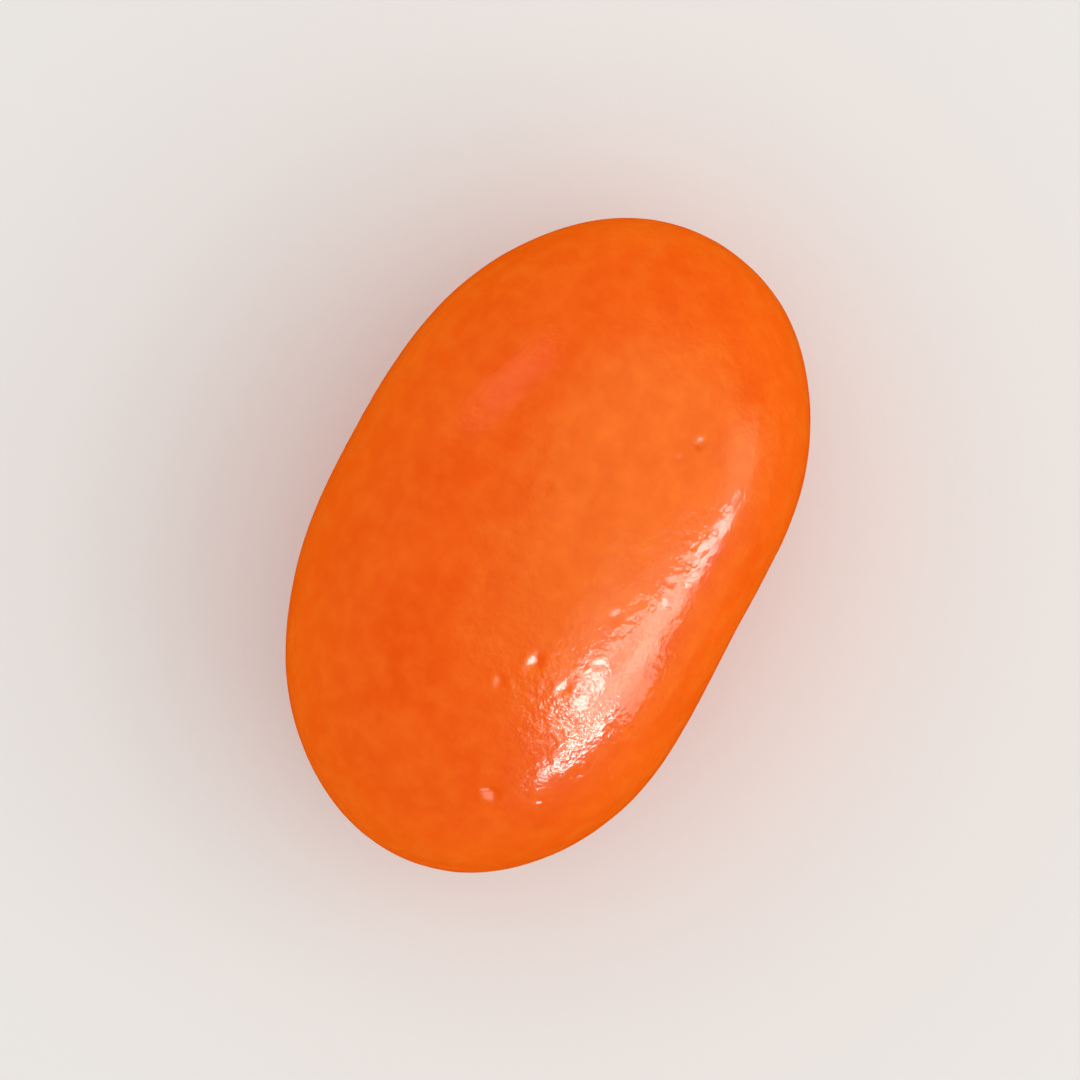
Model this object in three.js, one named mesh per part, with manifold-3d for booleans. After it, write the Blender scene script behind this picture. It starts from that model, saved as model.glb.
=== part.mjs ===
// A single jelly bean: a sugar-shelled sweet, lying on its broad side.
//
// Millimetres, +Z up. X runs along the bean, +Y is its rounded back and -Y its flatter, hollowed
// belly. The origin is on the surface that the bean rests on, under the middle of its box.
// The shell is closed and the bean is whole, so it is one solid.

import * as THREE from "three";
import { mergeVertices } from "three/addons/utils/BufferGeometryUtils.js";
import Module from "manifold-3d";

// Overall size
const LENGTH = 16.4;
const WIDTH = 10.7; // back to belly, before the belly is hollowed
const HEIGHT = 9.2; // from the flat spot to the top

// Form
const END_FULLNESS = 2.35; // 2 makes an ellipse along the bean, more makes blunter ends
const SECTION_FULLNESS = 2.25; // 2 makes an ellipse across the bean, more makes squarer shoulders
const BEND = 0.1; // how far the two tips lean towards the belly
const TIP_SKEW = 0.05; // how much further the -X tip leans than the +X tip
const HEAVY_END = 0.03; // share by which the bean is taller towards its +X tip
const HOLLOW_DEPTH = 0.52; // the shallow groove along the middle of the belly
const HOLLOW_SPAN = 0.46; // its reach along the bean, as a share of half the length
const HOLLOW_ARC = 0.42; // its reach round the section, in radians
const FLAT_DEPTH = 0.08; // how much of the round underside the flat spot takes off

// Unevenness of a shell built up in a tumbling pan: long, low waves in the sugar
const WAVE_HEIGHT = 0.05;
const WAVE_LENGTH = 7.5;

// Facets
const STATIONS = 60; // from tip to tip
const SIDES = 64; // round the section

const HALF_LENGTH = LENGTH / 2;
const HALF_WIDTH = WIDTH / 2;
const HALF_HEIGHT = (HEIGHT + FLAT_DEPTH) / 2;
const MIDDLE_Z = HALF_HEIGHT - FLAT_DEPTH;

// How thick the bean is at a share of its half length, from 0 at the tips to 1 in the middle.
function fullness(share) {
  return Math.sqrt(Math.max(0, 1 - Math.abs(share) ** END_FULLNESS));
}

// How far a superellipse section reaches at an angle, as a share of an ellipse's reach.
function shoulder(angle) {
  const across = Math.abs(Math.cos(angle)) ** SECTION_FULLNESS;
  const upright = Math.abs(Math.sin(angle)) ** SECTION_FULLNESS;
  return (across + upright) ** (-1 / SECTION_FULLNESS);
}

// The line through the middle of the sections: a parabola that leans both tips to the belly.
function centreY(share) {
  return -BEND * share ** 2 + TIP_SKEW * share;
}

// The depth of the belly's groove, fading out along the bean and round the section.
function hollow(share, angle) {
  const fromBelly = Math.abs(angle) - Math.PI;
  return HOLLOW_DEPTH * Math.exp(-((share / HOLLOW_SPAN) ** 2) - (fromBelly / HOLLOW_ARC) ** 2);
}

// How far the sugar stands proud of the smooth form: crossed waves, uneven in all three directions.
function wave({ x, y, z }) {
  const turn = (2 * Math.PI) / WAVE_LENGTH;
  const along = Math.sin(turn * (x + 0.6 * y) + 0.8) * Math.cos(turn * (z - 0.3 * x));
  const across = Math.sin(turn * (1.3 * y - 0.5 * z) - 1.1) * Math.cos(turn * 0.7 * x + 0.4);
  return (WAVE_HEIGHT * (along + across)) / 2;
}

// Moves a point of a unit sphere, whose poles lie on X, to its place on the bean.
function toBean(point) {
  const share = THREE.MathUtils.clamp(point.x, -1, 1);
  const angle = Math.atan2(point.z, point.y);
  const reach = fullness(share) * shoulder(angle);
  point.set(
    HALF_LENGTH * share,
    HALF_WIDTH * reach * Math.cos(angle) + hollow(share, angle),
    HALF_HEIGHT * reach * Math.sin(angle) * (1 + HEAVY_END * share),
  );
  const proud = 1 + wave(point) / point.length();
  return point.multiplyScalar(proud).add(new THREE.Vector3(0, centreY(share), MIDDLE_Z));
}

// The bean before its flat spot is cut, as a sphere's grid with every vertex moved.
function beanGeometry() {
  const geometry = new THREE.SphereGeometry(1, SIDES, STATIONS).rotateZ(-Math.PI / 2);
  const places = geometry.getAttribute("position");
  const point = new THREE.Vector3();
  for (let i = 0; i < places.count; i++) {
    toBean(point.fromBufferAttribute(places, i));
    places.setXYZ(i, point.x, point.y, point.z);
  }
  return geometry;
}

// A closed three.js geometry as a manifold-3d solid.
function toSolid(wasm, geometry) {
  const bare = new THREE.BufferGeometry().setAttribute("position", geometry.getAttribute("position"));
  bare.setIndex(geometry.getIndex());
  const merged = mergeVertices(bare, 1e-4);
  return new wasm.Manifold(
    new wasm.Mesh({
      numProp: 3,
      vertProperties: merged.getAttribute("position").array,
      triVerts: new Uint32Array(merged.getIndex().array),
    }),
  );
}

// A manifold-3d solid as a three.js geometry.
function toGeometry(solid) {
  const mesh = solid.getMesh();
  const geometry = new THREE.BufferGeometry();
  geometry.setAttribute("position", new THREE.BufferAttribute(mesh.vertProperties, 3));
  geometry.setIndex(new THREE.BufferAttribute(mesh.triVerts, 1));
  return geometry;
}

// Everything under the resting surface, which is cut away to leave the flat spot.
function belowGround() {
  const depth = HEIGHT / 2;
  return new THREE.BoxGeometry(2 * LENGTH, 2 * WIDTH, depth).translate(0, 0, -depth / 2);
}

// The finished bean, moved so that its box is centred over the origin.
function restingBean(wasm) {
  const solid = toSolid(wasm, beanGeometry()).subtract(toSolid(wasm, belowGround()));
  const geometry = toGeometry(solid);
  geometry.computeBoundingBox();
  const middle = geometry.boundingBox.getCenter(new THREE.Vector3());
  geometry.translate(-middle.x, -middle.y, 0);
  geometry.computeVertexNormals();
  return geometry;
}

const wasm = await Module();
wasm.setup();

// Hard-panned sugar polished with confectioner's glaze: opaque orange with a wet-looking gloss.
const shellMaterial = new THREE.MeshStandardMaterial({
  color: 0xf0641a,
  roughness: 0.28,
  metalness: 0,
});

const bean = new THREE.Mesh(restingBean(wasm), shellMaterial);
bean.name = "bean";

const jellyBean = new THREE.Group();
jellyBean.add(bean);

export default jellyBean;
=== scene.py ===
"""One jelly bean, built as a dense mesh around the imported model, on a plain pale stage.

Lengths are metres, +Z is up, X runs along the bean, +Y is its rounded back and -Y its grooved
belly. The bean's form is a formula in a few sizes, which the panel lists. The finished form is
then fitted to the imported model's box.
"""

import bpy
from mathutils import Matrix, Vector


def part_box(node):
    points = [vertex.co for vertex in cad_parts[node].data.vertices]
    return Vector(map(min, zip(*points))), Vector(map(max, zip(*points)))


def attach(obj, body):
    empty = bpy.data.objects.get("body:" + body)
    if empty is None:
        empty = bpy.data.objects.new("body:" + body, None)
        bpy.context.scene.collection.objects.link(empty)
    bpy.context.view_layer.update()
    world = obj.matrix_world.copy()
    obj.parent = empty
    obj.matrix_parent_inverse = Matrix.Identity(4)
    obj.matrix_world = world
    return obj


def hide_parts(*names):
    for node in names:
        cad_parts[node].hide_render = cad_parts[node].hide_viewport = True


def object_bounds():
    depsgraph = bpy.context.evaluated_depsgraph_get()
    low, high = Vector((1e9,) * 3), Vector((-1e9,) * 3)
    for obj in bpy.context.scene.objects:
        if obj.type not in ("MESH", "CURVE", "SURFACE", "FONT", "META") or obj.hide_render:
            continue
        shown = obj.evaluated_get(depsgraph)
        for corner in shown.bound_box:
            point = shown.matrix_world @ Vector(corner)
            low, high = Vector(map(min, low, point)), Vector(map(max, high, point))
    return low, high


bl_info = {
    "name": "Jelly Bean",
    "version": (1, 0, 0),
    "blender": (4, 5, 0),
    "location": "View3D > Sidebar > Jelly Bean",
    "description": "Builds one sugar-shelled jelly bean and the stage it is shown on",
    "category": "Object",
}

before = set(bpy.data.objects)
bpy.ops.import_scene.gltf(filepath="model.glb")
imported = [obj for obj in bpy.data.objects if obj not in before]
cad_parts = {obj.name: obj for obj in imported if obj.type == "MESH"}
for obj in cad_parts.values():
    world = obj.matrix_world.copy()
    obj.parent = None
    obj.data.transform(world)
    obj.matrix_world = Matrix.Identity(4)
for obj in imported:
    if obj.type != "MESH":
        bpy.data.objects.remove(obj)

import itertools
import math

import bpy
import numpy as np
from bpy.props import FloatProperty, FloatVectorProperty, IntProperty, PointerProperty
from mathutils import Matrix, Quaternion, Vector

CAD_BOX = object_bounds()  # read before anything is added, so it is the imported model's box
MM = 0.001
UPWARDS = Vector((0, 0, 1))
CRYSTAL_ATTRIBUTE = "crystal_face"

# Inputs and output of Blender's Mix node in its colour mode
MIX_FACTOR = 0
MIX_FIRST = 6
MIX_SECOND = 7
MIX_RESULT = 2


def linear(hex_colour):
    """An sRGB hex colour, such as "#EE5C15", as linear red, green and blue, by the sRGB curve."""
    channels = np.array([int(hex_colour[i : i + 2], 16) for i in (1, 3, 5)]) / 255
    low = channels / 12.92
    high = ((channels + 0.055) / 1.055) ** 2.4
    return tuple(np.where(channels <= 0.04045, low, high).tolist())


def direction(azimuth, elevation):
    """The unit vector at an azimuth, from +X towards +Y, and an elevation, both in degrees."""
    a = math.radians(azimuth)
    e = math.radians(elevation)
    return Vector((math.cos(a) * math.cos(e), math.sin(a) * math.cos(e), math.sin(e)))


# ---------------------------------------------------------------- settings


class BeanForm(bpy.types.PropertyGroup):
    """Sizes of the smooth bean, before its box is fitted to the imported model's."""

    length: FloatProperty(
        name="Length", description="From tip to tip", default=16.4 * MM, unit="LENGTH"
    )
    width: FloatProperty(
        name="Width",
        description="From back to belly, before the belly is hollowed",
        default=10.7 * MM,
        unit="LENGTH",
    )
    height: FloatProperty(
        name="Height", description="From the flat spot to the top", default=9.2 * MM, unit="LENGTH"
    )
    end_fullness: FloatProperty(
        name="End fullness",
        description="2 makes an ellipse along the bean, more makes blunter ends",
        default=2.35,
    )
    section_fullness: FloatProperty(
        name="Section fullness",
        description="2 makes an ellipse across the bean, more makes squarer shoulders",
        default=2.25,
    )
    bend: FloatProperty(
        name="Bend",
        description="How far the two tips lean towards the belly",
        default=0.1 * MM,
        unit="LENGTH",
    )
    tip_skew: FloatProperty(
        name="Tip skew",
        description="How much further the -X tip leans than the +X tip",
        default=0.05 * MM,
        unit="LENGTH",
    )
    heavy_end: FloatProperty(
        name="Heavy end",
        description="Share by which the bean is taller towards its +X tip",
        default=0.03,
    )
    hollow_depth: FloatProperty(
        name="Hollow depth",
        description="Depth of the groove along the middle of the belly",
        default=0.52 * MM,
        unit="LENGTH",
    )
    hollow_span: FloatProperty(
        name="Hollow span",
        description="Reach of the groove along the bean, as a share of half the length",
        default=0.46,
    )
    hollow_arc: FloatProperty(
        name="Hollow arc",
        description="Reach of the groove round the section",
        default=0.42,
        subtype="ANGLE",
    )
    flat_depth: FloatProperty(
        name="Flat depth",
        description="How much of the round underside the flat spot takes off",
        default=0.08 * MM,
        unit="LENGTH",
    )
    wave_height: FloatProperty(
        name="Wave height",
        description="Height of the long waves in the sugar",
        default=0.05 * MM,
        unit="LENGTH",
    )
    wave_length: FloatProperty(
        name="Wave length",
        description="Length of the long waves in the sugar",
        default=7.5 * MM,
        unit="LENGTH",
    )


class ShellRelief(bpy.types.PropertyGroup):
    """Unevenness that the shell takes from the tumbling pan."""

    stations: IntProperty(name="Stations", description="Rings from tip to tip", default=330)
    sides: IntProperty(name="Sides", description="Points round a ring", default=300)
    crowding: FloatProperty(
        name="Crowding",
        description="Share by which the points of a ring are closer together on the upper side",
        default=0.35,
    )
    seed: IntProperty(name="Seed", description="Start of the random draws", default=17)
    ripple_height: FloatProperty(
        name="Ripple height",
        description="Height of the low ripples, like those of orange peel",
        default=0.007 * MM,
        unit="LENGTH",
    )
    ripple_length: FloatProperty(
        name="Ripple length",
        description="Distance from ripple to ripple",
        default=1.3 * MM,
        unit="LENGTH",
    )
    pits: IntProperty(
        name="Pits", description="Small craters scattered over the shell", default=65
    )
    pit_radius: FloatProperty(
        name="Pit radius",
        description="Radius of the largest scattered crater",
        default=0.20 * MM,
        unit="LENGTH",
    )
    pit_depth: FloatProperty(
        name="Pit depth",
        description="Depth of the largest scattered crater",
        default=0.020 * MM,
        unit="LENGTH",
    )


class ShellFinish(bpy.types.PropertyGroup):
    """Colours and gloss of the polished sugar shell."""

    body_colour: FloatVectorProperty(
        name="Body colour",
        description="Orange of the coloured sugar",
        subtype="COLOR",
        default=linear("#F26509"),
    )
    deep_colour: FloatVectorProperty(
        name="Deep colour",
        description="Orange where the colour has gathered",
        subtype="COLOR",
        default=linear("#EC5B04"),
    )
    pale_colour: FloatVectorProperty(
        name="Pale colour",
        description="Orange where the sugar is cloudy",
        subtype="COLOR",
        default=linear("#FA7A1C"),
    )
    sugar_roughness: FloatProperty(
        name="Sugar roughness", description="Roughness of the sugar under the glaze", default=0.42
    )
    glaze_weight: FloatProperty(
        name="Glaze weight", description="How much of the shell the glaze covers", default=1.0
    )
    glaze_roughness: FloatProperty(
        name="Glaze roughness", description="Roughness of the polished glaze", default=0.12
    )


class BeanStage(bpy.types.PropertyGroup):
    """Floor, lights and camera."""

    floor_colour: FloatVectorProperty(
        name="Floor colour",
        description="Colour of the plain floor",
        subtype="COLOR",
        default=linear("#E9E7E3"),
    )
    ambient: FloatProperty(
        name="Ambient", description="Mean strength of the light from all round", default=1.10
    )
    lean: FloatVectorProperty(
        name="Lean",
        description="How much stronger the light from all round is from +X, +Y and +Z",
        default=(0.04, 0.08, -0.3),
    )
    mirrored_colour: FloatVectorProperty(
        name="Mirrored colour",
        description="What the glaze mirrors where it doesn't face a light",
        subtype="COLOR",
        default=linear("#D84E04"),
    )
    glow_colour: FloatVectorProperty(
        name="Glow colour",
        description="What the glaze mirrors above the window",
        subtype="COLOR",
        soft_max=2,
        max=4,
        default=(1.7, 1.35, 0.32),
    )
    glow_azimuth: FloatProperty(
        name="Glow azimuth", description="Degrees of the glow from +X towards +Y", default=-50
    )
    glow_height: FloatProperty(
        name="Glow height", description="Degrees of the glow over the floor", default=62
    )
    glow_outer: FloatProperty(
        name="Glow outer angle",
        description="Where the glow has faded out",
        default=math.radians(56),
        subtype="ANGLE",
    )
    glow_inner: FloatProperty(
        name="Glow inner angle",
        description="Where the glow starts to fade",
        default=math.radians(5),
        subtype="ANGLE",
    )
    lens: FloatProperty(
        name="Lens", description="Focal length of the camera", default=200, unit="CAMERA"
    )
    turn: FloatProperty(
        name="Turn",
        description="Angle in the picture from its right side to the bean's +X tip",
        default=math.radians(62),
        subtype="ANGLE",
    )
    fill_share: FloatProperty(
        name="Fill share",
        description="Share of the picture's width that the bean's length takes",
        default=0.64,
    )


# ---------------------------------------------------------------- form


def superellipse_reach(angle, fullness):
    """(|cos a| ** n + |sin a| ** n) ** (-1 / n): 1 on the axes, and more between if n is over 2."""
    across = np.abs(np.cos(angle)) ** fullness
    upright = np.abs(np.sin(angle)) ** fullness
    return (across + upright) ** (-1 / fullness)


def smooth_bean(form, stations, sides, crowding):
    """Rings of points, as an array of (stations + 1, sides, 3), whose first and last are the tips.

    share = -cos(pi k / stations) runs along X. angle = t + crowding * cos t goes once round each
    ring, so its steps are shortest at the top. A point reaches sqrt(1 - |share| ** end fullness)
    times a superellipse, in Y by half the width and in Z by half the height. The belly's groove is
    a Gaussian in share and in the angle from the belly, the long waves push each point away from
    the middle, and the tips lean to the belly by a parabola.
    """
    share = -np.cos(np.linspace(0, np.pi, stations + 1))[:, None]
    turn = np.linspace(-np.pi, np.pi, sides, endpoint=False)[None, :]
    angle = turn + crowding * np.cos(turn)
    half_height = (form.height + form.flat_depth) / 2
    thick = np.sqrt(np.clip(1 - np.abs(share) ** form.end_fullness, 0, None))
    reach = thick * superellipse_reach(angle, form.section_fullness)
    from_belly = np.abs(angle) - np.pi
    hollow = form.hollow_depth * np.exp(
        -((share / form.hollow_span) ** 2) - (from_belly / form.hollow_arc) ** 2
    )
    points = np.stack(
        [
            np.broadcast_to(form.length / 2 * share, reach.shape),
            form.width / 2 * reach * np.cos(angle) + hollow,
            half_height * reach * np.sin(angle) * (1 + form.heavy_end * share),
        ],
        axis=-1,
    )
    points *= 1 + (long_wave(points, form) / np.linalg.norm(points, axis=-1))[..., None]
    points[..., 1] += -form.bend * share**2 + form.tip_skew * share
    points[..., 2] += half_height - form.flat_depth
    return points


def long_wave(points, form):
    """Half the sum of two crossed waves, each a sine times a cosine of skewed coordinates.

    The skews and phases keep crests from lining up, with each other or with the bean's axes.
    """
    x, y, z = np.moveaxis(points, -1, 0)
    turn = 2 * np.pi / form.wave_length
    along = np.sin(turn * (x + 0.6 * y) + 0.8) * np.cos(turn * (z - 0.3 * x))
    across = np.sin(turn * (1.3 * y - 0.5 * z) - 1.1) * np.cos(turn * 0.7 * x + 0.4)
    return form.wave_height * (along + across) / 2


def ring_normals(points):
    """Outward unit normals: the step round a ring crossed with the step along the bean."""
    around = np.roll(points, -1, axis=1) - np.roll(points, 1, axis=1)
    along = np.gradient(points, axis=0)
    normals = np.cross(around, along)
    normals[0] = (-1, 0, 0)
    normals[-1] = (1, 0, 0)
    return normals / np.linalg.norm(normals, axis=-1, keepdims=True)


NOISE_PERIOD = 48  # cells after which the noise repeats, enough for no repeat to show


def lattice_noise(points, cell, seed):
    """Smooth noise from -1 to 1: random values at the corners of cubes of one cell, blended
    across each cube by 6 t^5 - 15 t^4 + 10 t^3."""
    values = np.random.default_rng(seed).uniform(-1, 1, (NOISE_PERIOD,) * 3)
    place = points / cell
    corner = np.floor(place).astype(int)
    t = place - corner
    blend = t**3 * (t * (6 * t - 15) + 10)
    total = np.zeros(points.shape[:-1])
    for step in itertools.product((0, 1), repeat=3):
        weight = np.prod(np.where(step, blend, 1 - blend), axis=-1)
        i, j, k = np.moveaxis((corner + step) % NOISE_PERIOD, -1, 0)
        total += weight * values[i, j, k]
    return total


RIM_RADIUS = 1.5  # of a crater's raised rim, in radii of its pit
RIM_WIDTH = 0.5  # in radii of the pit
PIT_TO_RIM = 3  # depth of the pit over height of the rim


def crater(points, centre, radius, depth):
    """A pit with a low raised rim: a Gaussian of one radius, and a Gaussian ring round it."""
    away = np.linalg.norm(points - centre, axis=-1) / radius
    rim = np.exp(-(((away - RIM_RADIUS) / RIM_WIDTH) ** 2)) / PIT_TO_RIM
    return depth * (rim - np.exp(-(away**2)))


EDGE_POWER = 6  # how sharply a crystal face ends
SINKING = 0.4  # how far a crystal face is cut in, in radii times the slope of its tilt
LEAST_FACING = 0.5  # keeps the cut finite where the shell turns away from a crystal face


def crystal_face(places, normals, centre, radius, azimuth, elevation):
    """A flat face of a sugar crystal, as how far it moves each place along its normal and how far
    each place belongs to it.

    The face's normal h is halfway between straight up and the direction that it mirrors straight
    up. Its plane lies under the centre by a depth d = sinking * radius * tan(tilt from the shell),
    so the face is cut in more than it stands proud. A place at offset o from the centre, with
    normal n, moves by -(o . h + d) / (n . h), as far as it belongs to the face, which is by
    exp(-(|o| / radius) ** edge power).
    """
    halfway = (direction(azimuth, elevation) + UPWARDS).normalized()
    offset = places - places[centre]
    share = np.exp(-((np.linalg.norm(offset, axis=-1) / radius) ** EDGE_POWER))
    facing = np.maximum(normals @ halfway, LEAST_FACING)
    normal = normals[centre]
    depth = SINKING * radius * np.linalg.norm(np.cross(normal, halfway)) / (normal @ halfway)
    return -share * (offset @ halfway + depth) / facing, share


# Crystal faces that glint on the upper side, as X, Y and radius in millimetres, and the azimuth
# and elevation in degrees of what each mirrors straight up
TOP_CRYSTALS = (
    (3.75, -2.18, 0.19, -89, 32),
    (3.19, -1.95, 0.14, -91, 38),
    (-2.51, -1.18, 0.23, -119.5, 44),
    (-3.31, -0.69, 0.18, -124, 54),
    (-5.81, -1.72, 0.26, -129, 43),
    (-5.38, -2.80, 0.13, -137, 31),
    (-2.77, -2.06, 0.19, -119.5, 44),
    (-2.86, -2.63, 0.22, -119.5, 44),
    (-1.88, -2.55, 0.16, -119.5, 44),
    (-2.33, -2.78, 0.16, -119.5, 44),
    (-3.25, -3.27, 0.16, -122, 26),
    (-3.71, -3.23, 0.15, -122, 26),
    (-0.68, -2.34, 0.19, -104, 47),
    (0.09, -3.25, 0.23, -83, 27),
    (0.61, -3.12, 0.18, -92, 38),
    (1.25, -3.22, 0.18, -86, 35),
    (1.65, -3.43, 0.18, -83, 27),
    (2.28, -3.53, 0.20, -79.5, 24.2),
)

RIPPLE_SHARES = (1, 0.5, 0.2)  # heights of the ripples of the full, half and quarter length
SMALLEST_PIT = 0.4  # size of the smallest crater, as a share of the largest


def shell_relief(points, relief):
    """How far the shell stands proud at each point, from ripples of three sizes, scattered craters
    and crystal faces, and how far each point belongs to a crystal face. Each crystal face is
    centred on the point of the upper side that lies nearest to its X and Y, counted from the
    middle of the bean's box."""
    rng = np.random.default_rng(relief.seed)
    proud = np.zeros(points.shape[:-1])
    for octave, height in enumerate(RIPPLE_SHARES):
        cell = relief.ripple_length / 2**octave
        proud += height * relief.ripple_height * lattice_noise(points, cell, relief.seed + octave)
    share = rng.uniform(-1, 1, relief.pits)
    stations = np.rint(np.arccos(-share) / np.pi * relief.stations).astype(int)
    sides = rng.integers(0, relief.sides, relief.pits)
    scale = rng.uniform(SMALLEST_PIT, 1, relief.pits)
    for centre, size in zip(points[stations, sides], scale):
        proud += crater(points, centre, relief.pit_radius * size, relief.pit_depth * size)
    normals = ring_normals(points)
    middle = (points.min(axis=(0, 1)) + points.max(axis=(0, 1))) / 2
    crystal = np.zeros_like(proud)
    for x, y, radius, azimuth, elevation in TOP_CRYSTALS:
        places = points + normals * proud[..., None]
        away = np.hypot(places[..., 0] - middle[0] - x * MM, places[..., 1] - middle[1] - y * MM)
        from_above = np.where(places[..., 2] > middle[2], away, np.inf)
        centre = np.unravel_index(np.argmin(from_above), away.shape)
        height, face = crystal_face(places, normals, centre, radius * MM, azimuth, elevation)
        proud += height
        crystal = np.maximum(crystal, face)
    return proud, crystal


def fit_to_box(points, low, high):
    """Moves and stretches the points so that their box is the given one."""
    flat = points.reshape(-1, 3)
    own_low = flat.min(axis=0)
    own_high = flat.max(axis=0)
    return low + (points - own_low) * (high - low) / (own_high - own_low)


def vertex_order(rings):
    """Values by ring, as one row per vertex: the first and last rings count as one vertex each."""
    return np.concatenate([rings[0, :1], rings[1:-1].reshape(-1, *rings.shape[2:]), rings[-1, :1]])


def closed_mesh(name, points, crystal):
    """A closed mesh from rings of points whose first and last rings are single points: quads
    between rings, and a fan of triangles at each tip. How far each point belongs to a crystal face
    is kept as the attribute that the glaze reads."""
    count, sides = points.shape[:2]
    vertices = vertex_order(points)
    here = 1 + np.arange((count - 2) * sides).reshape(count - 2, sides)
    next_side = np.roll(here, -1, axis=1)
    quads = np.stack([here[:-1], next_side[:-1], next_side[1:], here[1:]], axis=-1)
    first = np.stack([np.zeros(sides, int), next_side[0], here[0]], axis=-1)
    last = np.stack([np.full(sides, len(vertices) - 1), here[-1], next_side[-1]], axis=-1)
    faces = quads.reshape(-1, 4).tolist() + first.tolist() + last.tolist()
    mesh = bpy.data.meshes.new(name)
    mesh.from_pydata(vertices.tolist(), [], faces)
    mesh.shade_smooth()
    mesh.attributes.new(CRYSTAL_ATTRIBUTE, "FLOAT", "POINT")
    mesh.attributes[CRYSTAL_ATTRIBUTE].data.foreach_set("value", vertex_order(crystal))
    return mesh


# ---------------------------------------------------------------- materials


def add_node(tree, kind, inputs=None, **settings):
    """Adds a node with its settings. Each input is given a value, or an output that links to it."""
    node = tree.nodes.new(kind)
    for name, value in settings.items():
        setattr(node, name, value)
    for name, value in (inputs or {}).items():
        if isinstance(value, bpy.types.NodeSocket):
            tree.links.new(value, node.inputs[name])
        else:
            node.inputs[name].default_value = value
    return node


def new_material(name):
    """An empty node material and its tree."""
    material = bpy.data.materials.new(name)
    material.use_nodes = True
    material.node_tree.nodes.clear()
    return material, material.node_tree


def per_metre(size):
    """The texture scale whose cells are that size, in metres."""
    return 1 / size


# Patterns of the sugar shell, by the size of their cells. Sugar crystals of a few hundredths of a
# millimetre are too fine to show, so the grain is drawn as coarse as the knots that they form.
CLOUDS = {"Scale": per_metre(2.2 * MM), "Detail": 3.0, "Roughness": 0.55}
MOTTLE = {"Scale": per_metre(0.5 * MM), "Detail": 2.0, "Roughness": 0.5}
GRAIN = {"Scale": per_metre(0.22 * MM), "Detail": 2.0, "Roughness": 0.6}

# What the patterns do to the sugar: share of the body colour by the clouds, share of the pale
# colour by the mottle, and how far the clouds take the roughness either way
GATHERED_TO_BODY = {"From Min": 0.35, "From Max": 0.65}
CLEAR_TO_PALE = {"From Min": 0.4, "From Max": 0.75, "To Max": 0.4}
ROUGHNESS_SPREAD = 0.08
SUGAR_GRAIN_DEPTH = 0.02 * MM

# How far the glaze follows the grain. It is thin in patches of the clouds, and more so near a worn
# spot: the distance from the spot is turned into what is added to the clouds' noise, and the sum
# into the share of the grain's depth that comes through. A crystal face keeps a part of that share.
GLAZE_GRAIN_DEPTH = 0.04 * MM
WORN_SPOT = (-2.0 * MM, -2.7 * MM, 8.2 * MM)
WORN_TO_WHOLE = {"From Min": 0.7 * MM, "From Max": 1.8 * MM, "To Min": -0.03, "To Max": -0.1}
THICK_TO_THIN = {"From Min": 0.4, "From Max": 0.65, "To Min": 0.3}
SHELL_TO_CRYSTAL = {"To Min": 1.0, "To Max": 0.3}

# The sugar's own gloss, which is weak because the glaze on it bends light almost as much
SUGAR_GLOSS = 0.08
SUGAR_IOR = 1.5
GLAZE_IOR = 1.52  # shellac

# How far light travels in the sugar, and the shares of that for red, green and blue
SCATTER_LENGTH = 1.5 * MM
SCATTER_SHARES = (1.0, 0.35, 0.12)
SCATTERED_SHARE = 0.9  # of the light that enters


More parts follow.
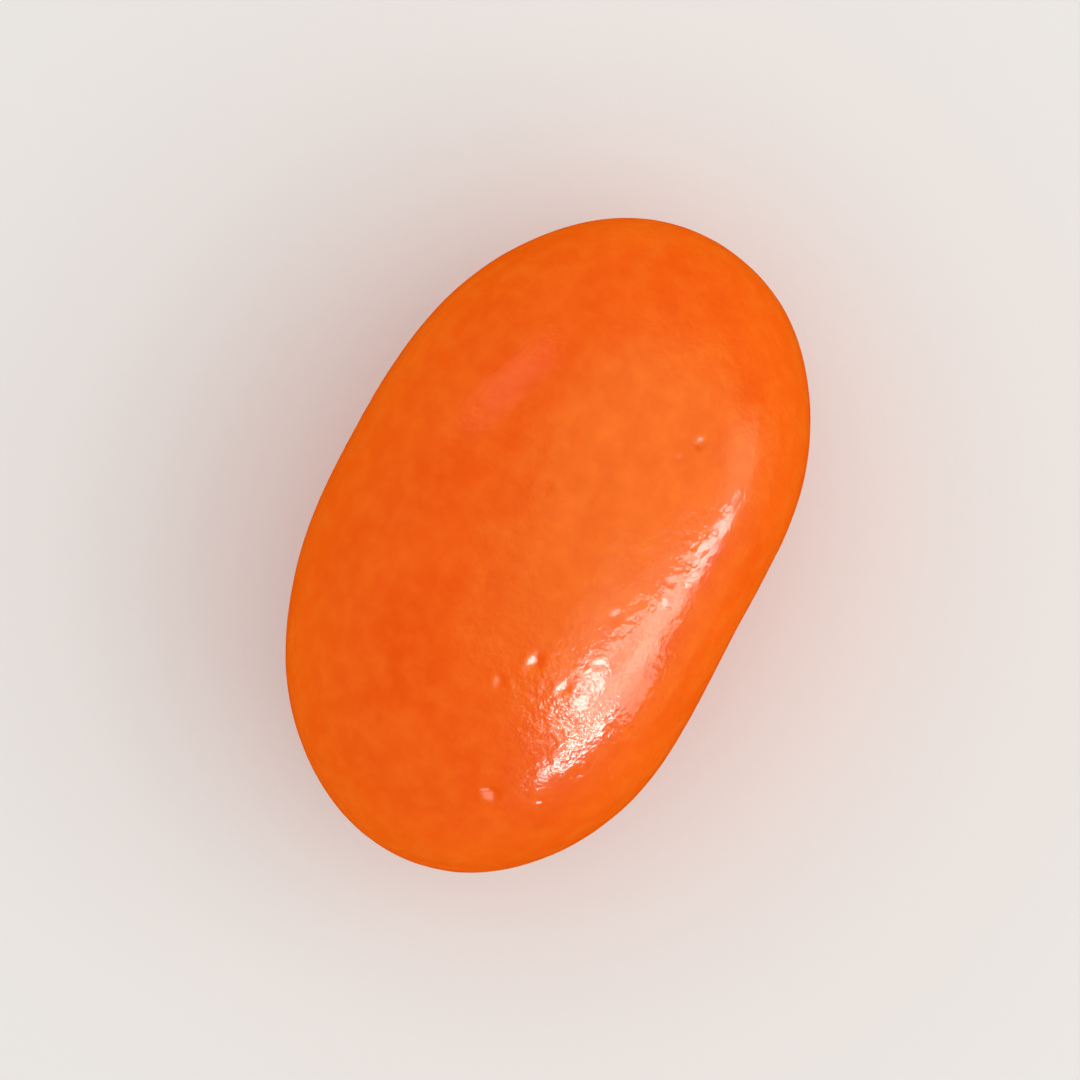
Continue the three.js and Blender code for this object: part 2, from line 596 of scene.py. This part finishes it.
def sugar_shell_material(finish):
    """Hard-panned sugar, coloured right through and polished with edible glaze.

    Light enters the sugar and comes out a millimetre or so away, red furthest, so the bean glows
    a little at its edges. The sugar itself is satin, from crystals too fine to see one by one.
    The thin glaze over it is glossy but follows the crystals a little, most where it is worn, so
    reflections sparkle there. Single large crystal faces under it are smooth and glint.
    """
    material, tree = new_material("sugar_shell_polished")
    place = add_node(tree, "ShaderNodeTexCoord").outputs["Object"]
    clouds = add_node(tree, "ShaderNodeTexNoise", {"Vector": place, **CLOUDS}).outputs["Fac"]
    mottle = add_node(tree, "ShaderNodeTexNoise", {"Vector": place, **MOTTLE}).outputs["Fac"]
    grain = add_node(tree, "ShaderNodeTexNoise", {"Vector": place, **GRAIN}).outputs["Fac"]

    body_share = add_node(tree, "ShaderNodeMapRange", {"Value": clouds, **GATHERED_TO_BODY})
    gathered = add_node(
        tree,
        "ShaderNodeMix",
        {
            MIX_FACTOR: body_share.outputs["Result"],
            MIX_FIRST: (*finish.deep_colour, 1),
            MIX_SECOND: (*finish.body_colour, 1),
        },
        data_type="RGBA",
    )
    pale_share = add_node(tree, "ShaderNodeMapRange", {"Value": mottle, **CLEAR_TO_PALE})
    colour = add_node(
        tree,
        "ShaderNodeMix",
        {
            MIX_FACTOR: pale_share.outputs["Result"],
            MIX_FIRST: gathered.outputs[MIX_RESULT],
            MIX_SECOND: (*finish.pale_colour, 1),
        },
        data_type="RGBA",
    )
    roughness = add_node(
        tree,
        "ShaderNodeMapRange",
        {
            "Value": clouds,
            "To Min": finish.sugar_roughness - ROUGHNESS_SPREAD,
            "To Max": finish.sugar_roughness + ROUGHNESS_SPREAD,
        },
    )
    sugar_grain = add_node(
        tree, "ShaderNodeBump", {"Height": grain, "Strength": 1.0, "Distance": SUGAR_GRAIN_DEPTH}
    )

    from_worn_spot = add_node(
        tree, "ShaderNodeVectorMath", {0: place, 1: WORN_SPOT}, operation="DISTANCE"
    )
    worn = add_node(
        tree, "ShaderNodeMapRange", {"Value": from_worn_spot.outputs["Value"], **WORN_TO_WHOLE}
    )
    thinness = add_node(
        tree, "ShaderNodeMath", {0: clouds, 1: worn.outputs["Result"]}, operation="ADD"
    )
    bare_share = add_node(
        tree, "ShaderNodeMapRange", {"Value": thinness.outputs["Value"], **THICK_TO_THIN}
    )
    crystal = add_node(tree, "ShaderNodeAttribute", attribute_name=CRYSTAL_ATTRIBUTE)
    off_crystal = add_node(
        tree, "ShaderNodeMapRange", {"Value": crystal.outputs["Fac"], **SHELL_TO_CRYSTAL}
    )
    unevenness = add_node(
        tree,
        "ShaderNodeMath",
        {0: bare_share.outputs["Result"], 1: off_crystal.outputs["Result"]},
        operation="MULTIPLY",
    )
    glaze_grain = add_node(
        tree,
        "ShaderNodeBump",
        {
            "Height": grain,
            "Strength": unevenness.outputs["Value"],
            "Distance": GLAZE_GRAIN_DEPTH,
        },
    )

    shader = add_node(
        tree,
        "ShaderNodeBsdfPrincipled",
        {
            "Base Color": colour.outputs[MIX_RESULT],
            "Roughness": roughness.outputs["Result"],
            "IOR": SUGAR_IOR,
            "Specular IOR Level": SUGAR_GLOSS,
            "Subsurface Weight": SCATTERED_SHARE,
            "Subsurface Radius": SCATTER_SHARES,
            "Subsurface Scale": SCATTER_LENGTH,
            "Coat Weight": finish.glaze_weight,
            "Coat Roughness": finish.glaze_roughness,
            "Coat IOR": GLAZE_IOR,
            "Normal": sugar_grain.outputs["Normal"],
            "Coat Normal": glaze_grain.outputs["Normal"],
        },
    )
    add_node(tree, "ShaderNodeOutputMaterial", {"Surface": shader.outputs["BSDF"]})
    return material


# Tooth of the card that the floor is made of
TOOTH = {"Scale": per_metre(0.4 * MM), "Detail": 2.0}
TOOTH_DEPTH = 0.01 * MM


def card_material(colour):
    """Matte card, uncoated, so it shows no gloss, with a barely visible tooth."""
    material, tree = new_material("matte_card")
    place = add_node(tree, "ShaderNodeTexCoord").outputs["Object"]
    tooth = add_node(tree, "ShaderNodeTexNoise", {"Vector": place, **TOOTH}).outputs["Fac"]
    bump = add_node(tree, "ShaderNodeBump", {"Height": tooth, "Distance": TOOTH_DEPTH})
    shader = add_node(
        tree,
        "ShaderNodeBsdfPrincipled",
        {
            "Base Color": (*colour, 1),
            "Roughness": 0.9,
            "Specular IOR Level": 0.2,
            "Normal": bump.outputs["Normal"],
        },
    )
    add_node(tree, "ShaderNodeOutputMaterial", {"Surface": shader.outputs["BSDF"]})
    return material


# ---------------------------------------------------------------- operators


def add_object(name, data):
    """A new object at the origin."""
    thing = bpy.data.objects.new(name, data)
    bpy.context.scene.collection.objects.link(thing)
    return thing


class JELLYBEAN_OT_bean(bpy.types.Operator):
    """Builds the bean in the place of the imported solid"""

    bl_idname = "jellybean.bean"
    bl_label = "Build the bean"

    def execute(self, context):
        form = context.scene.bean_form
        relief = context.scene.shell_relief
        points = smooth_bean(form, relief.stations, relief.sides, relief.crowding)
        proud, crystal = shell_relief(points, relief)
        points += ring_normals(points) * proud[..., None]
        points[..., 2] = np.maximum(points[..., 2], 0)
        low, high = (np.array(corner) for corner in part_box("bean"))
        mesh = closed_mesh("jelly_bean", fit_to_box(points, low, high), crystal)
        mesh.materials.append(sugar_shell_material(context.scene.shell_finish))
        bean = add_object("jelly_bean", mesh)
        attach(bean, "root")
        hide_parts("bean")
        return {"FINISHED"}


WHITE = (1.0, 1.0, 0.97)
CREAM = (1.0, 1.0, 0.84)
HONEY = (1.0, 1.0, 0.5)
AMBER = (1.0, 1.0, 0.2)
PINK = (1.0, 0.33, 0.33)

# Bright panes that only the glaze mirrors, as name, azimuth, elevation, width, height and roll in
# degrees, luminance and colour. The two at the back make a faint pink spot, the rest the window.
WINDOW_PANES = (
    ("pane_low", -106, 30.5, 40, 14, -1, 4.7, CREAM),
    ("pane_high", -113, 43, 38, 17, -25, 2.0, CREAM),
    ("pane_edge", -99, 45, 32, 4, -42, 5.0, WHITE),
    ("pane_haze", -107, 48, 46, 28, -25, 0.62, CREAM),
    ("pane_veil", -98, 66, 16, 14, 0, 0.4, CREAM),
    ("pane_sill", -103.5, 18.4, 11, 10, 0, 3.3, CREAM),
    ("pane_top", -119.5, 44, 12, 7, 0, 17.0, WHITE),
    ("pane_end", -122, 26, 16, 5, 12, 25.0, WHITE),
    ("pane_tip", -134.5, 25, 9, 4, 45, 19.0, WHITE),
    ("pane_side", -78.8, 23.4, 15, 4.5, -52, 14.5, WHITE),
    ("pane_far_side", -62, 21, 26, 25, 0, 0.8, HONEY),
    ("pane_far_core", -63, 21, 15, 15, 0, 0.9, HONEY),
    ("pane_hem", -80, 3, 56, 24, 0, 0.5, AMBER),
    ("pane_back", 64, 40, 28, 22, 0, 0.9, PINK),
    ("pane_back_core", 64, 40, 18, 13, 0, 1.6, PINK),
)

# The soft white light of the window, which only matt surfaces take, in the same order
SOFT_KEY = ("soft_key", -75, 44, 60, 40, 0, 0.95)


def add_panel_light(name, azimuth, elevation, width, height, roll, luminance, distance):
    """A rectangular light that faces the bean, with its width and height in degrees as the bean
    sees them. A roll over 0 lifts its end of greater azimuth. Its luminance is counted against a
    white floor in even light of 1."""
    light = bpy.data.lights.new(name, "AREA")
    light.shape = "RECTANGLE"
    light.size = 2 * distance * math.tan(math.radians(width / 2))
    light.size_y = 2 * distance * math.tan(math.radians(height / 2))
    light.energy = luminance * math.pi * light.size * light.size_y
    panel = add_object(name, light)
    towards = direction(azimuth, elevation)
    panel.location = towards * distance
    panel.rotation_mode = "QUATERNION"
    facing = (-towards).to_track_quat("-Z", "Y")
    panel.rotation_quaternion = facing @ Quaternion((0, 0, 1), math.radians(roll))
    panel.visible_camera = False
    return panel


def studio_world(stage):
    """Light from all round, whose strength is ambient * (1 + lean . direction).

    What the glaze mirrors of it is the bean's own orange, as it is for a bean among others, so no
    pale haze lies over the colour, and a soft glow above the window: 1 within the inner angle of
    the glow's direction and 0 past the outer one. The world isn't sampled as a light, because the
    glaze would then be lit by the white that only matt surfaces see.
    """
    world = bpy.data.worlds.new("studio")
    world.cycles.sampling_method = "NONE"
    world.use_nodes = True
    tree = world.node_tree
    tree.nodes.clear()
    mirrored = add_node(tree, "ShaderNodeLightPath").outputs["Is Glossy Ray"]
    towards = add_node(tree, "ShaderNodeTexCoord").outputs["Generated"]
    lean = add_node(
        tree, "ShaderNodeVectorMath", {0: towards, 1: stage.lean}, operation="DOT_PRODUCT"
    )
    strength = add_node(
        tree,
        "ShaderNodeMapRange",
        {
            "Value": lean.outputs["Value"],
            "From Min": -1.0,
            "To Min": 0.0,
            "To Max": 2 * stage.ambient,
        },
    )
    light = add_node(
        tree,
        "ShaderNodeBackground",
        {"Color": (1, 1, 1, 1), "Strength": strength.outputs["Result"]},
    )
    nearness = add_node(
        tree,
        "ShaderNodeVectorMath",
        {0: towards, 1: direction(stage.glow_azimuth, stage.glow_height)},
        operation="DOT_PRODUCT",
    )
    share = add_node(
        tree,
        "ShaderNodeMapRange",
        {
            "Value": nearness.outputs["Value"],
            "From Min": math.cos(stage.glow_outer),
            "From Max": math.cos(stage.glow_inner),
        },
        interpolation_type="SMOOTHSTEP",
    )
    glow = add_node(
        tree,
        "ShaderNodeMix",
        {
            MIX_FACTOR: share.outputs["Result"],
            MIX_FIRST: (*stage.mirrored_colour, 1),
            MIX_SECOND: (*stage.glow_colour, 1),
        },
        data_type="RGBA",
    )
    neighbours = add_node(
        tree, "ShaderNodeBackground", {"Color": glow.outputs[MIX_RESULT], "Strength": 1.0}
    )
    mixed = add_node(
        tree,
        "ShaderNodeMixShader",
        {0: mirrored, 1: light.outputs["Background"], 2: neighbours.outputs["Background"]},
    )
    add_node(tree, "ShaderNodeOutputWorld", {"Surface": mixed.outputs["Shader"]})
    return world


# Sizes of the stage, in lengths of the bean
FLOOR_REACH = 40
LIGHT_DISTANCE = 20
NEAREST_SEEN = 0.1

FLOOR_GAP = 0.01 * MM  # keeps the floor out of the plane of the bean's flat spot


def add_floor(colour, height, reach):
    """A square of card that goes as far as its reach to each side. The glaze doesn't mirror it."""
    corners = [(-reach, -reach), (reach, -reach), (reach, reach), (-reach, reach)]
    mesh = bpy.data.meshes.new("floor")
    mesh.from_pydata([(x, y, height) for x, y in corners], [], [(0, 1, 2, 3)])
    mesh.materials.append(card_material(colour))
    floor = add_object("floor", mesh)
    floor.visible_glossy = False


def add_camera(stage, low, high):
    """A camera straight above the middle of a box. Its distance makes the box's length take up the
    fill share of the picture's width, and +X lies at the turn from the picture's right side."""
    length = high.x - low.x
    camera = bpy.data.cameras.new("camera")
    camera.lens = stage.lens
    camera.clip_start = NEAREST_SEEN * length
    holder = add_object("camera", camera)
    up = Vector((math.sin(stage.turn), math.cos(stage.turn), 0))
    right = Vector((math.cos(stage.turn), -math.sin(stage.turn), 0))
    turned = Matrix((right, up, UPWARDS)).transposed()
    distance = length / stage.fill_share * camera.lens / camera.sensor_width
    place = (low + high) / 2 + distance * UPWARDS
    holder.matrix_world = Matrix.Translation(place) @ turned.to_4x4()
    return holder


class JELLYBEAN_OT_stage(bpy.types.Operator):
    """Sets up the floor, the lights, the world and the camera"""

    bl_idname = "jellybean.stage"
    bl_label = "Set the stage"

    def execute(self, context):
        stage = context.scene.bean_stage
        low, high = CAD_BOX
        length = high.x - low.x
        add_floor(stage.floor_colour, low.z - FLOOR_GAP, FLOOR_REACH * length)
        for *pane, colour in WINDOW_PANES:
            panel = add_panel_light(*pane, LIGHT_DISTANCE * length)
            panel.data.color = colour
            panel.visible_diffuse = False
        soft = add_panel_light(*SOFT_KEY, LIGHT_DISTANCE * length)
        soft.visible_glossy = False
        context.scene.world = studio_world(stage)
        context.scene.camera = add_camera(stage, low, high)
        context.scene.view_settings.view_transform = "Standard"
        return {"FINISHED"}


class JELLYBEAN_PT_panel(bpy.types.Panel):
    """Lists the settings and the two build steps"""

    bl_idname = "JELLYBEAN_PT_panel"
    bl_label = "Jelly Bean"
    bl_space_type = "VIEW_3D"
    bl_region_type = "UI"
    bl_category = "Jelly Bean"

    def draw(self, context):
        scene = context.scene
        for group in (scene.bean_form, scene.shell_relief, scene.shell_finish, scene.bean_stage):
            box = self.layout.box()
            for name in group.__annotations__:
                box.prop(group, name)
        for operator in (JELLYBEAN_OT_bean, JELLYBEAN_OT_stage):
            self.layout.operator(operator.bl_idname)


SETTINGS = {
    "bean_form": BeanForm,
    "shell_relief": ShellRelief,
    "shell_finish": ShellFinish,
    "bean_stage": BeanStage,
}
CLASSES = (*SETTINGS.values(), JELLYBEAN_OT_bean, JELLYBEAN_OT_stage, JELLYBEAN_PT_panel)


def register():
    for cls in CLASSES:
        bpy.utils.register_class(cls)
    for name, group in SETTINGS.items():
        setattr(bpy.types.Scene, name, PointerProperty(type=group))


def unregister():
    for name in SETTINGS:
        delattr(bpy.types.Scene, name)
    for cls in reversed(CLASSES):
        bpy.utils.unregister_class(cls)


def main():
    """Builds everything in order."""
    register()
    bpy.ops.jellybean.bean()
    bpy.ops.jellybean.stage()


if __name__ == "__main__":
    main()
